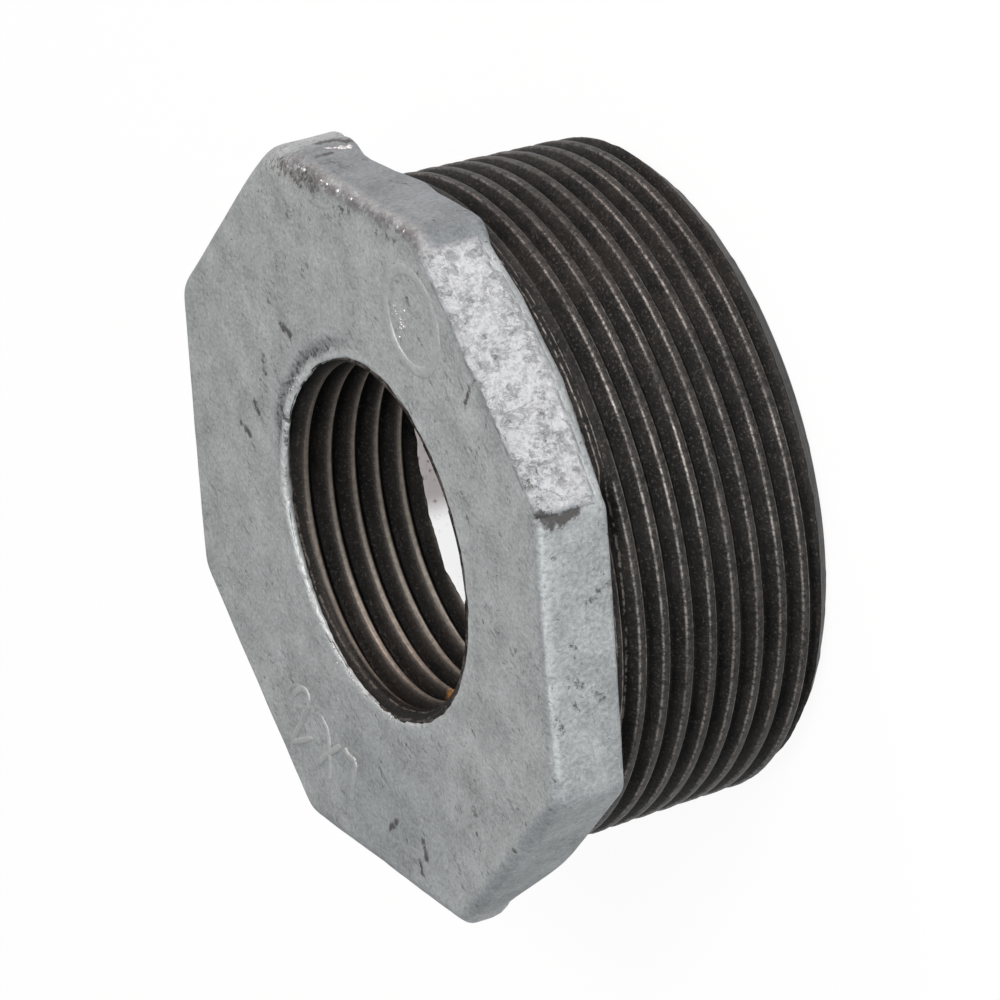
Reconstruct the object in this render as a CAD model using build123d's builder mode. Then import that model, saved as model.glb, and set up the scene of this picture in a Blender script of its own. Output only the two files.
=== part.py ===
"""Reducing bush, 2 inch taper pipe thread outside, 1 inch parallel pipe thread inside.

One malleable iron casting, turned and threaded. Millimetres. The Z axis is the turned
axis, Z = 0 is the end face of the outside thread, and the octagonal head is on top.
"""
import os
from math import atan, cos, degrees, radians, tan

from build123d import *

# Pipe thread form
threads_per_inch = 11
thread_angle = 55

# Outside thread, taper 1 in 16 on the diameter
gauge_d = 59.614
gauge_length = 15.9
taper = 1 / 16
crest_worn_off = 0.25
end_chamfer = 2.0

# Where the thread tool starts below the end face and stops short of the head
tool_lead_in = 2.458
tool_stop_gap = 1.23
tool_clearance = 0.5

# Bore at the crests of the inside thread
bore_d = 30.3
mouth_d = 32.5
mouth_depth = 1.15

# Head, cast a little off the turned axis
total_length = 29.0
head_thickness = 7.0
across_flats = 65.0
flat_count = 8
head_shift_x = -2.55
head_shift_y = -0.6
head_edge_radius = 1.4

# Back of the head, faced only as far out as the tool reached
faced_d = 68.0
unfaced_lug = 0.8

# Cored recess behind the inside thread
recess_depth = 16.0
recess_d = 45.0
recess_draft = 4
recess_floor_chamfer = 3.0

# Worked out from the values above
pitch = 25.4 / threads_per_inch
flank_slope = tan(radians(thread_angle / 2))
sharp_height = pitch / (2 * flank_slope)
thread_depth = sharp_height * 2 / 3
head_back = total_length - head_thickness
side_slope = taper / 2
cone_half_angle = degrees(atan(side_slope))
end_crest_r = gauge_d / 2 - gauge_length * side_slope - crest_worn_off
body_top = head_back + head_thickness / 2
top_crest_r = end_crest_r + body_top * side_slope
groove_depth = thread_depth + sharp_height / 6 - crest_worn_off
first_root_r = end_crest_r - groove_depth - tool_lead_in * side_slope
tool_depth = groove_depth + tool_clearance
recess_floor_r = recess_d / 2 - recess_depth * tan(radians(recess_draft))

with BuildPart() as threaded_end:
    # Tapered body, up into the head
    with BuildSketch(Plane.YZ):
        with BuildLine():
            Polyline(
                (0, 0),
                (end_crest_r, 0),
                (top_crest_r, body_top),
                (0, body_top),
                close=True,
            )
        make_face()
    revolve(axis=Axis.Z)

    # Outside thread, one V groove cut up the taper
    with BuildLine():
        Helix(
            pitch / cos(radians(cone_half_angle)),
            tool_lead_in + head_back - tool_stop_gap,
            first_root_r,
            center=(0, 0, -tool_lead_in),
            cone_angle=cone_half_angle,
        )
    with BuildSketch(Plane.XZ):
        with BuildLine():
            Polyline(
                (first_root_r, -tool_lead_in),
                (first_root_r + tool_depth, tool_depth * flank_slope - tool_lead_in),
                (first_root_r + tool_depth, -tool_depth * flank_slope - tool_lead_in),
                close=True,
            )
        make_face()
    sweep(is_frenet=True, mode=Mode.SUBTRACT)

    # End chamfer
    with BuildSketch(Plane.YZ):
        with BuildLine():
            Polyline(
                (end_crest_r - end_chamfer, 0),
                (end_crest_r + tool_clearance, 0),
                (end_crest_r + tool_clearance, end_chamfer + tool_clearance),
                close=True,
            )
        make_face()
    revolve(axis=Axis.Z, mode=Mode.SUBTRACT)

with BuildPart() as bushing:
    # Head
    with BuildSketch(Plane.XY.offset(head_back - unfaced_lug)):
        with Locations((head_shift_x, head_shift_y)):
            RegularPolygon(
                across_flats / 2,
                flat_count,
                major_radius=False,
                rotation=180 / flat_count,
            )
    extrude(amount=head_thickness + unfaced_lug)
    face_edges = bushing.faces().sort_by(Axis.Z)[-1].edges()
    fillet(bushing.edges().filter_by(Axis.Z) + face_edges, radius=head_edge_radius)

    # Facing cut behind the head
    with BuildSketch(Plane.XY.offset(head_back)):
        Circle(faced_d / 2)
    extrude(amount=-unfaced_lug, mode=Mode.SUBTRACT)

    # Threaded end
    add(threaded_end.part)

    # Recess
    with BuildSketch(Plane.XZ) as recess:
        with BuildLine():
            Polyline(
                (0, 0),
                (recess_d / 2, 0),
                (recess_floor_r, recess_depth),
                (0, recess_depth),
                close=True,
            )
        make_face()
        floor_corner = recess.vertices().group_by(Axis.Y)[-1].sort_by(Axis.X)[-1]
        chamfer(floor_corner, length=recess_floor_chamfer)
    revolve(mode=Mode.SUBTRACT)

    # Bore and its mouth
    with BuildSketch(Plane.XZ):
        with BuildLine():
            Polyline(
                (0, 0),
                (bore_d / 2, 0),
                (bore_d / 2, total_length - mouth_depth),
                (mouth_d / 2, total_length),
                (0, total_length),
                close=True,
            )
        make_face()
    revolve(mode=Mode.SUBTRACT)

bushing.part.label = "bushing"
os.makedirs("parts", exist_ok=True)
export_step(bushing.part, "parts/bushing.step")
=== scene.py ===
"""Looks of the threaded reducing bush: a zinc-coated cast head, bare oily threads, a cored recess.

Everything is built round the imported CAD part, in its frame. The sizes in the classes are in
millimetres, as in the part's source, and a mesh is turned into metres when it is made.
"""

import logging
import math
from dataclasses import dataclass, field
from enum import Enum
from functools import cached_property

import bpy
import numpy as np
from mathutils import Matrix, Vector


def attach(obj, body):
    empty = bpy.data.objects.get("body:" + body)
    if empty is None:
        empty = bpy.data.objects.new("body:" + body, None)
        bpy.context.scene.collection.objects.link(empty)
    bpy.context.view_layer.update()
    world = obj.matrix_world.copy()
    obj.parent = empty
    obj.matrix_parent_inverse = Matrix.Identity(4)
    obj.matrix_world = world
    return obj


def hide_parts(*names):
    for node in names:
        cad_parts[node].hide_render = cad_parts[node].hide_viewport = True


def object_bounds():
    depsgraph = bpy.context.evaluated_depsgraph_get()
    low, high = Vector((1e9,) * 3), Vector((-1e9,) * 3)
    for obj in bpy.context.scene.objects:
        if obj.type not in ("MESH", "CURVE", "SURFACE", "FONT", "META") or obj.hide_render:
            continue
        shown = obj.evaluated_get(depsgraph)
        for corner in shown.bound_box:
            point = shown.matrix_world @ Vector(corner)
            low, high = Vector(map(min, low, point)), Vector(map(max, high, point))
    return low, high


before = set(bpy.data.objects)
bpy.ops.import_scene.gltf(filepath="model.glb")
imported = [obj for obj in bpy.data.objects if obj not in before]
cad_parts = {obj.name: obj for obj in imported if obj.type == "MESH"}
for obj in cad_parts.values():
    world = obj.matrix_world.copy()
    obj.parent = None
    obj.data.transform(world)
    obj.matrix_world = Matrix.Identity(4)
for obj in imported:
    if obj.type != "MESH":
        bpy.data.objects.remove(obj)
CAD_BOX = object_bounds()

MM = 0.001
PITCH = 25.4 / 11
LENGTH = 29.0
HEAD_BACK = 22.0
MOUTH_R = 16.25
MOUTH_TIGHTER = 0.8
# Corners between two flats, by direction: the lug at the upper left, and the low one at the right
LUG = 112.5
LOW_CORNER = 292.5
log = logging.getLogger("bush")


class Flat(Enum):
    """The eight flats of the head, each with the direction it faces, in degrees from +X."""

    RIGHT = 0
    UPPER_RIGHT = 45
    TOP = 90
    UPPER_LEFT = 135
    LEFT = 180
    LOWER_LEFT = 225
    BOTTOM = 270
    LOWER_RIGHT = 315


class Side(Enum):
    """Which way a thread faces."""

    OUTSIDE = 1
    INSIDE = -1


def smooth(low: float, high: float, value: np.ndarray) -> np.ndarray:
    """A soft step from 0 at low to 1 at high: three t squared less two t cubed."""
    t = np.clip((value - low) / (high - low), 0.0, 1.0)
    return t * t * (3.0 - 2.0 * t)


def bump_at(value: np.ndarray, centre: float, width: float) -> np.ndarray:
    """A bell of height 1 round centre: e to the minus of the squared distance in widths."""
    return np.exp(-(((value - centre) / width) ** 2))


def turn_gap(theta: np.ndarray, degrees: float) -> np.ndarray:
    """The signed angle in degrees from a direction to theta, between -180 and 180."""
    return (np.degrees(theta) - degrees + 180.0) % 360.0 - 180.0


def bell_round(theta: np.ndarray, degrees: float, width: float) -> np.ndarray:
    """A bell of height 1 round a direction, with its width in degrees."""
    return bump_at(turn_gap(theta, degrees), 0.0, width)


def window(
    theta: np.ndarray, degrees: float, rise: tuple[float, float], fall: tuple[float, float]
) -> np.ndarray:
    """1 over a span of directions: a soft step up times a soft step down, in degrees off a middle.

    Args:
        theta: directions in radians.
        degrees: the middle of the span.
        rise: where the step up starts and ends.
        fall: where the value is 0 again, and where it leaves 1.

    Returns:
        Numbers between 0 and 1.
    """
    gap = turn_gap(theta, degrees)
    return smooth(*rise, gap) * smooth(*fall, gap)


def mouth_radius(theta: np.ndarray) -> np.ndarray:
    """Radius of the bore's mouth, which is tighter at the upper left, where the face is low."""
    return MOUTH_R - MOUTH_TIGHTER * bell_round(theta, 128, 34.0)


def circle(radius: float, height: float, columns: int) -> np.ndarray:
    """Points of a level circle: the radius times cosine and sine, at one height."""
    turn = 2 * math.pi * np.arange(columns) / columns
    return np.stack([radius * np.cos(turn), radius * np.sin(turn), height + 0 * turn], -1)


@dataclass(frozen=True)
class LatticeNoise:
    """Smooth noise from random heights on a cubic lattice that repeats."""

    seed: int
    cells: int = 32

    def sample(self, points: np.ndarray, size: tuple[float, float, float] | float) -> np.ndarray:
        """Blends the heights of the eight lattice corners round each point.

        The weights are soft steps of the point's place in its cell, so the noise is smooth.

        Args:
            points: places in millimetres, of any shape ending in 3.
            size: length of a cell, one number or one for each axis.

        Returns:
            Heights between -1 and 1, one for each point.
        """
        table = np.random.default_rng(self.seed).uniform(-1.0, 1.0, (self.cells,) * 3)
        scaled = points / np.asarray(size, float)
        cell = np.floor(scaled).astype(int)
        t = scaled - cell
        t = t * t * (3.0 - 2.0 * t)
        total = np.zeros(points.shape[:-1])
        for corner in np.ndindex(2, 2, 2):
            at = [(cell[..., k] + corner[k]) % self.cells for k in range(3)]
            weight = np.ones(points.shape[:-1])
            for k in range(3):
                weight = weight * (t[..., k] if corner[k] else 1.0 - t[..., k])
            total = total + weight * table[at[0], at[1], at[2]]
        return total

    def layered(self, points: np.ndarray, size: float, layers: int = 3) -> np.ndarray:
        """Adds layers of noise, each half the size and half the height of the last.

        Args:
            points: places in millimetres.
            size: length of a cell of the first layer.
            layers: how many layers are added.

        Returns:
            Heights over the sum of the layers' own heights, so between -1 and 1.
        """
        total = np.zeros(points.shape[:-1])
        for k in range(layers):
            total = total + self.sample(points + 7.3 * k, size / 2**k) / 2**k
        return total / (2.0 - 0.5 ** (layers - 1))


@dataclass
class MeshPiece:
    """Vertices, faces and surface values of one piece, ready to become a Blender object."""

    name: str
    points: np.ndarray
    faces: list
    values: dict[str, np.ndarray] = field(default_factory=dict)

    def place(self, material: bpy.types.Material) -> bpy.types.Object:
        """Makes the object in metres, kept inside the CAD box, smooth shaded, riding on the root.

        Args:
            material: the finish of the whole piece.

        Returns:
            The new object, at the origin.
        """
        low = np.array(CAD_BOX[0], float)
        high = np.array(CAD_BOX[1], float)
        points = np.clip(self.points * MM, low, high)
        mesh = bpy.data.meshes.new(self.name)
        mesh.from_pydata(points.tolist(), [], self.faces)
        mesh.polygons.foreach_set("use_smooth", np.ones(len(mesh.polygons), bool))
        for key, value in self.values.items():
            layer = mesh.attributes.new(key, "FLOAT", "POINT")
            layer.data.foreach_set("value", np.asarray(value, np.float32))
        mesh.materials.append(material)
        mesh.update()
        piece = bpy.data.objects.new(self.name, mesh)
        bpy.context.scene.collection.objects.link(piece)
        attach(piece, "root")
        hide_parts("bushing")
        log.info("%s: %d triangles", self.name, len(mesh.loops) - 2 * len(mesh.polygons))
        return piece


def ring_faces(rows: int, columns: int) -> np.ndarray:
    """Four-sided faces of a grid that closes both ways, facing along turn times row direction.

    Args:
        rows: how many rows the grid has.
        columns: how many columns it has.

    Returns:
        Vertex numbers of the faces, row by row.
    """
    i, j = np.meshgrid(np.arange(rows), np.arange(columns), indexing="ij")
    up = (i + 1) % rows
    on = (j + 1) % columns
    quads = np.stack([i * columns + j, i * columns + on, up * columns + on, up * columns + j], -1)
    return quads.reshape(-1, 4)


def grid_normals(grid: np.ndarray) -> np.ndarray:
    """Outward unit normals of a closed grid: the cross product of its two central differences.

    Args:
        grid: places, rows by columns.

    Returns:
        One normal for each place.
    """
    along = np.roll(grid, -1, 1) - np.roll(grid, 1, 1)
    across = np.roll(grid, -1, 0) - np.roll(grid, 1, 0)
    normal = np.cross(along, across)
    return normal / np.maximum(np.linalg.norm(normal, axis=-1, keepdims=True), 1e-9)


@dataclass(frozen=True)
class Places:
    """The head's surface before wear: points, and each one's direction, radius and height.

    inset is the distance in from the outline, and across the distance out from the bore's mouth.
    """

    grid: np.ndarray
    angle: np.ndarray
    radius: np.ndarray
    height: np.ndarray
    inset: np.ndarray
    across: np.ndarray


@dataclass
class HeadCasting:
    """The octagonal head with the zinc-coated core recess below it, as one closed ring."""

    columns: int = 720
    face_z: float = LENGTH
    edge_r: float = 1.42
    back_edge_r: float = 0.55
    recess_mouth_r: float = 22.5
    recess_floor_z: float = 16.0
    recess_draft: float = math.tan(math.radians(4))
    floor_fillet: float = 3.6
    floor_inner_r: float = 16.85
    back_inner_r: float = 29.0
    face_width: float = 13.0
    rim_r: float = 0.35
    # Radius and height of the rows hidden behind the inside thread, and in the threaded wall
    core_rows: tuple = ((16.5, 28.3), (18.2, 27.6), (18.2, 16.6), (16.9, 16.25), (16.75, 16.08))
    return_rows: tuple = ((23.2, 0.5), (25.0, 1.6), (25.0, 21.0), (27.0, 21.9))
    wide: LatticeNoise = LatticeNoise(3)
    fine: LatticeNoise = LatticeNoise(5)
    strip_noise: LatticeNoise = LatticeNoise(7)
    corner_power: float = 120.0
    typical_r: float = 30.0
    # Heights and depths of the casting's unevenness
    face_wave: float = 0.04
    side_wave: float = 0.07
    side_sink: float = 0.05
    peel_height: float = 0.19
    grit_height: float = 0.10
    wrinkle_depth: float = 0.36
    crust_sink: float = 0.12
    edge_chips: float = 0.09
    face_sink: float = 0.09
    rim_bead: float = 0.10
    pitting: float = 0.10
    recess_wave: float = 0.10
    mouth_torn: float = 0.16
    mouth_swell: float = 0.04
    distances: dict = field(
        default_factory=lambda: {
            Flat.RIGHT: 29.93,
            Flat.UPPER_RIGHT: 30.28,
            Flat.TOP: 31.55,
            Flat.UPPER_LEFT: 33.5,
            Flat.LEFT: 35.03,
            Flat.LOWER_LEFT: 35.2,
            Flat.BOTTOM: 32.75,
            Flat.LOWER_RIGHT: 31.25,
        }
    )
    # Flats with an uneven back edge: where each starts and ends, and depths at places along it
    uneven_backs: tuple = (
        (
            Flat.TOP, (-23.5, -21.0), (24.5, 22.5),
            (-12.6, -10.2, -3.7, -1.1, 1.0, 2.8, 5.3, 6.6, 8.3, 10.8, 12.6),
            (6.95, 6.95, 6.8, 7.1, 6.77, 6.32, 6.15, 6.06, 6.2, 6.87, 7.26),
        ),
        (
            Flat.UPPER_RIGHT, (-24.0, -21.5), (23.5, 21.5),
            (-13.0, -11.3, -1.3, 6.8, 10.9, 13.0), (6.55, 6.76, 7.95, 7.59, 6.86, 6.6),
        ),
    )
    # Stains: two ends in their plane, then width and strength. On the face, x and y:
    face_stains: tuple = (
        (-14.8, 14.9, -13.3, 14.5, 0.5, 0.95), (7.8, 27.6, 8.1, 26.4, 0.5, 0.5),
        (6.6, 25.3, 8.0, 24.5, 0.6, 0.42), (9.2, 25.1, 10.2, 23.9, 0.5, 0.5),
        (7.1, 21.6, 7.8, 20.4, 0.5, 0.45), (10.5, 22.3, 12.1, 21.2, 0.55, 0.5),
        (8.3, 20.0, 9.4, 19.3, 0.5, 0.4), (5.8, 23.9, 6.3, 22.4, 0.45, 0.4),
        (11.7, 27.9, 12.8, 26.3, 0.5, 0.35), (-18.9, 10.4, -18.7, 9.3, 0.7, 0.6),
        (-21.2, 5.4, -20.5, 4.7, 0.6, 0.8), (-24.3, 2.5, -22.9, 2.0, 0.5, 0.8),
        (-15.9, 6.4, -15.1, 6.0, 0.55, 0.8), (-15.6, 4.6, -15.5, 3.5, 0.5, 0.75),
        (-15.9, 1.9, -16.0, 0.2, 0.45, 0.6), (18.5, 18.3, 19.6, 20.5, 0.35, 0.8),
        (19.6, 20.5, 21.3, 21.7, 0.3, 0.7), (22.1, 17.7, 22.9, 19.8, 0.35, 0.6),
        (17.1, 24.8, 17.8, 23.7, 0.5, 0.4), (-14.1, 30.4, -6.9, 30.1, 1.3, 0.62),
        (-3.3, 29.6, 0.7, 29.9, 0.8, 0.5), (4.7, 29.7, 8.3, 29.9, 0.6, 0.5),
        (-1.3, -28.0, 0.3, -26.8, 0.45, 0.8), (5.0, -26.9, 5.4, -28.3, 0.45, 0.95),
        (4.2, -29.3, 4.4, -30.2, 0.4, 0.85), (14.1, -11.3, 16.9, -13.1, 0.22, 0.7),
        (16.9, -13.1, 18.5, -15.3, 0.2, 0.6), (14.6, -19.7, 15.4, -20.4, 0.5, 0.6),
        (21.7, -21.3, 21.9, -22.1, 0.45, 0.95), (28.7, -14.9, 29.5, -15.1, 0.5, 0.8),
        (15.3, -22.3, 16.0, -22.6, 0.4, 0.7), (-9.9, 22.4, -8.8, 22.2, 0.5, 0.45),
        (-1.7, 26.0, -0.3, 25.8, 0.6, 0.4), (-5.0, 28.3, -3.5, 28.2, 0.6, 0.45),
        (-16.7, -21.4, -15.1, -22.0, 0.45, 0.4), (-14.1, -26.3, -9.7, -23.5, 0.35, 0.45),
        (-18.7, -21.6, -16.3, -20.1, 0.4, 0.4),
    )
    # On the right flat, y and z:
    right_stains: tuple = (
        (12.4, 28.8, 11.5, 26.7, 0.6, 1.0), (11.5, 26.7, 11.8, 25.2, 0.55, 1.0),
        (11.5, 27.9, 11.2, 27.5, 0.5, 0.9), (4.3, 23.6, 4.6, 22.3, 0.4, 0.6),
        (3.6, 24.8, 3.8, 23.9, 0.4, 0.5), (0.6, 26.3, -0.3, 26.1, 0.4, 0.45),
        (-3.0, 26.3, -3.9, 25.6, 0.45, 0.6), (-4.3, 24.8, -5.3, 23.8, 0.4, 0.6),
        (-2.1, 27.1, -3.0, 26.8, 0.35, 0.5), (-5.3, 26.6, -6.0, 26.0, 0.4, 0.5),
        (-6.4, 28.0, -7.2, 27.7, 0.35, 0.5), (-6.8, 25.8, -7.6, 25.4, 0.3, 0.4),
    )
    # On the top flat, x and z:
    top_stains: tuple = (
        (-13.0, 24.9, -12.8, 23.4, 0.55, 0.95), (-12.8, 23.4, -11.3, 22.7, 0.5, 0.9),
        (-9.8, 26.6, -9.8, 25.4, 0.4, 0.8), (-8.2, 26.1, -6.0, 25.9, 0.8, 0.55),
        (12.5, 28.0, 14.2, 27.3, 0.6, 0.8), (14.2, 27.3, 16.0, 26.2, 0.6, 0.9),
        (-0.6, 24.1, 1.4, 23.7, 0.4, 0.5),
    )
    # On the upper right flat, x, y and z:
    corner_stains: tuple = (
        (18.6, 24.2, 26.8, 19.2, 23.6, 25.9, 0.45, 0.55),
        (25.7, 17.1, 25.4, 27.8, 15.0, 25.6, 0.22, 0.6),
        (16.2, 26.6, 26.5, 16.7, 26.1, 25.9, 0.4, 0.4),
        (27.3, 15.5, 27.4, 28.1, 14.7, 27.4, 0.8, 0.5),
        (28.1, 14.6, 28.5, 29.5, 13.3, 27.8, 0.9, 0.5),
        (28.4, 14.3, 25.7, 29.3, 13.4, 25.1, 0.6, 0.45),
        (19.9, 22.9, 26.7, 20.4, 22.4, 26.3, 0.4, 0.5),
    )
    right_x: float = 29.9
    top_y: float = 31.5

    def outline(self, theta: np.ndarray, inset: np.ndarray | float) -> np.ndarray:
        """Radius of the rounded octagon, moved in by inset.

        Each flat gives cosine over distance, and the radius is one over their power mean, whose
        power sets how sharp the corners are: sharper at the upper right, softer at the lug.

        Args:
            theta: directions in radians.
            inset: how far in from the outline, in millimetres.

        Returns:
            The radius in each direction.
        """
        power = self.corner_power + 150.0 * bell_round(theta, Flat.UPPER_RIGHT.value, 32.0)
        power = power - 94.0 * bell_round(theta, LUG, 12.0)
        total = np.zeros(np.broadcast(theta, inset).shape)
        for flat, distance in self.distances.items():
            part = np.cos(theta - math.radians(flat.value)) / (distance - inset)
            total = total + np.maximum(part * self.typical_r, 1e-6) ** power
        return self.typical_r * total ** (-1.0 / power)

    def front_radius(self, theta: np.ndarray) -> np.ndarray:
        """Radius of the front edge: soft at the left and below, crisper at the right and the top.

        Args:
            theta: directions in radians.

        Returns:
            The edge radius less or plus a bell at each flat or corner that differs.
        """
        radius = self.edge_r - 0.85 * bell_round(theta, Flat.RIGHT.value, 20.0)
        radius = radius + 1.3 * bell_round(theta, 113, 9.0)
        radius = radius - 0.85 * bell_round(theta, Flat.UPPER_RIGHT.value, 21.0)
        return radius - 0.5 * bell_round(theta, 88, 17.0)

    def back_radius(self, theta: np.ndarray) -> np.ndarray:
        """Radius of the back edge, larger at the low corner and along the upper right flat."""
        radius = self.back_edge_r + 2.7 * bell_round(theta, LOW_CORNER, 9.0)
        return radius + 0.75 * bell_round(theta, Flat.UPPER_RIGHT.value, 20.0)

    def thickness(self, theta: np.ndarray) -> np.ndarray:
        """Depth of the head's back edge below its face, all the way round.

        The faced back is 7 deep. The corners that the facing tool missed stand lower, and the
        top and upper right flats end in the uneven edges that the casting was left with.

        Args:
            theta: directions in radians.

        Returns:
            The depth in each direction: straight runs between measured places on those two flats.
        """
        reach = self.outline(theta, 0.0)
        worn = bell_round(theta, LOW_CORNER, 13.0)
        depth = LENGTH - HEAD_BACK + 0.5 * smooth(34.0, 34.5, reach) * (1 - worn) - 1.2 * worn**2
        for flat, rise, fall, places, depths in self.uneven_backs:
            turned = np.radians(np.clip(turn_gap(theta, flat.value), -30, 30))
            along = self.distances[flat] * np.tan(turned)
            share = window(theta, flat.value, rise, fall)
            depth = depth * (1 - share) + np.interp(along, places, depths) * share
        return depth

    def rows(self, theta: np.ndarray) -> list[np.ndarray]:
        """Radius and height of each row of the closed section, counter-clockwise.

        Back face outwards, back edge, flat upwards, front edge, face inwards, rim, a hidden wall
        down, recess floor outwards, recess wall down, and a hidden wall back up.

        Args:
            theta: direction of each column, in radians.

        Returns:
            One array of radius and height for each row.
        """
        depth = self.thickness(theta)
        back = self.face_z - depth
        made = []

        def add(radius: np.ndarray | float, height: np.ndarray | float) -> None:
            """Adds one row, spread over all columns."""
            made.append(np.stack([radius + 0 * theta, height + 0 * theta], -1))

        round_off = self.back_radius(theta)
        front = self.front_radius(theta)
        edge = self.outline(theta, round_off)
        for w in np.linspace(0.0, 1.0, 9):
            lower = smooth(0.15, 0.9, np.array(w))
            add((1 - w) * self.back_inner_r + w * edge, HEAD_BACK + (back - HEAD_BACK) * lower)
        for turn in np.linspace(0.2, 1.0, 5) * math.pi / 2:
            add(
                self.outline(theta, round_off * (1 - math.sin(turn))),
                back + round_off * (1 - math.cos(turn)),
            )
        for w in np.linspace(0.0, 1.0, 22)[1:-1]:
            low = back + round_off
            add(self.outline(theta, 0.0), low + w * (self.face_z - front - low))
        for turn in np.linspace(0.0, 1.0, 8) * math.pi / 2:
            add(
                self.outline(theta, front * (1 - math.cos(turn))),
                self.face_z - front * (1 - math.sin(turn)),
            )
        rim = mouth_radius(theta) + self.rim_r
        edge = self.outline(theta, front)
        for w in np.linspace(0.0, 1.0, 52)[1:]:
            blend = smooth(0.25, 1.0, np.array(w))
            octagon = self.outline(theta, front + w * self.face_width)
            add((1 - blend) * octagon + blend * (edge + (rim - edge) * w), self.face_z)
        for turn in (0.35, 0.7, 1.0):
            angle = turn * math.pi / 2
            add(rim - self.rim_r * math.sin(angle), self.face_z - 0.3 * (1 - math.cos(angle)))
        for radius, height in self.core_rows:
            add(radius, height)
        floor = self.recess_floor_z
        wall = self.recess_mouth_r - self.recess_draft * (floor - self.floor_fillet)
        for w in np.linspace(0.0, 1.0, 5):
            add(self.floor_inner_r + w * (wall - self.floor_fillet - self.floor_inner_r), floor)
        for turn in np.linspace(0.0, 1.0, 9)[1:] * math.pi / 2:
            add(
                wall - self.floor_fillet * (1 - math.sin(turn)),
                floor - self.floor_fillet * (1 - math.cos(turn)),
            )
        for w in np.linspace(0.0, 1.0, 20)[1:]:
            height = (floor - self.floor_fillet) * (1 - w) + 0.02 * w
            add(self.recess_mouth_r - self.recess_draft * height, height)
        for radius, height in self.return_rows:
            add(radius, height)
        return made

    def regions(self, at: Places) -> dict[str, np.ndarray]:
        """Where each kind of surface lies: products of soft steps and bells.

        Args:
            at: the casting's surface before wear.

        Returns:
            Shares between 0 and 1, by name.
        """
        upper = smooth(20.5, 21.8, at.height)
        top_side = smooth(27.9, 28.6, at.height)
        turned = np.degrees(at.angle)
        strip = self.face_z - self.thickness(at.angle) + 1.25
        strip = strip + 0.35 * self.strip_noise.sample(at.grid, 0.9)
        above = smooth(-0.15, 0.2, at.height - strip)
        flat_45 = window(at.angle, Flat.UPPER_RIGHT.value, (-23.1, -22.1), (22.9, 21.9))
        left_rim = 0.15 + 0.85 * bell_round(at.angle, 190, 75.0)
        middle = 0.45 + 0.25 * self.wide.sample(at.grid, 1.6)
        rim = bump_at(at.across, middle, 0.6) * top_side * left_rim
        middle = 1.5 + 0.4 * self.wide.sample(at.grid + 5.0, 2.2)
        pitted = bump_at(at.across, middle, 0.6) * top_side
        pitted = pitted * window(at.angle, 0, (92.0, 112.0), (186.0, 160.0))
        recess = smooth(21.0, 20.0, at.height) * smooth(24.0, 22.8, at.radius)
        edge_width = 0.62 + 0.7 * smooth(96.0, 112.0, turned)
        dark_edge = bump_at(at.inset, 0.55, edge_width) * smooth(27.2, 28.2, at.height)
        return {
            "upper": upper,
            "flat_45": flat_45,
            "frost": smooth(0.75, 0.25, at.inset) * upper * flat_45 * above,
            "on_side": smooth(1.6, 0.5, at.inset) * upper,
            "rim": rim,
            "pitted": pitted,
            "recess": recess,
            "dark_edge": dark_edge * window(at.angle, Flat.TOP.value, (-24.0, -20.0), (26.0, 22.0)),
            "scaled": recess * window(at.angle, Flat.LEFT.value, (-70.0, -50.0), (27.0, 19.0)),
        }

    def push(self, at: Places, share: dict[str, np.ndarray]) -> np.ndarray:
        """How far the casting stands out or in: noise for each region, times the region's share.

        Args:
            at: the casting's surface before wear.
            share: the regions' shares.

        Returns:
            Distances along the normals, in millimetres.
        """
        wide, fine = self.wide, self.fine
        turned = at.grid @ self.frame_45()
        side, crumpled, upper = share["on_side"], share["frost"], share["upper"]
        push = -self.face_wave * upper * (1 - side) * (1 + wide.layered(at.grid, 7.0, 3))
        waves = self.side_wave * wide.layered(at.grid, 4.0, 3) - self.side_sink
        push += side * (1 - crumpled) * waves
        peel = fine.sample(turned, (2.4, 1.3, 1.7)) + 0.7 * fine.sample(at.grid, 0.62)
        wrinkle = 1.0 - np.abs(wide.sample(turned + 3.0, (3.0, 1.5, 3.2)))
        crust = self.peel_height * peel + self.grit_height * fine.sample(turned, (1.2, 0.8, 1.0))
        push += crumpled * (crust - self.wrinkle_depth * wrinkle**8 - self.crust_sink)
        front_line = bump_at(at.inset, 0.3, 0.5) * smooth(27.5, 28.6, at.height)
        push += front_line * share["flat_45"] * self.edge_chips * fine.sample(at.grid, 0.8)
        push -= self.face_sink * smooth(28.0, 28.9, at.height)
        push += share["rim"] * self.rim_bead * (1 + fine.sample(at.grid, 0.75))
        push -= share["pitted"] * self.pitting * (1 + fine.sample(at.grid, 0.8))
        return push + share["recess"] * self.recess_wave * wide.layered(at.grid, 4.0, 3)

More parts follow.
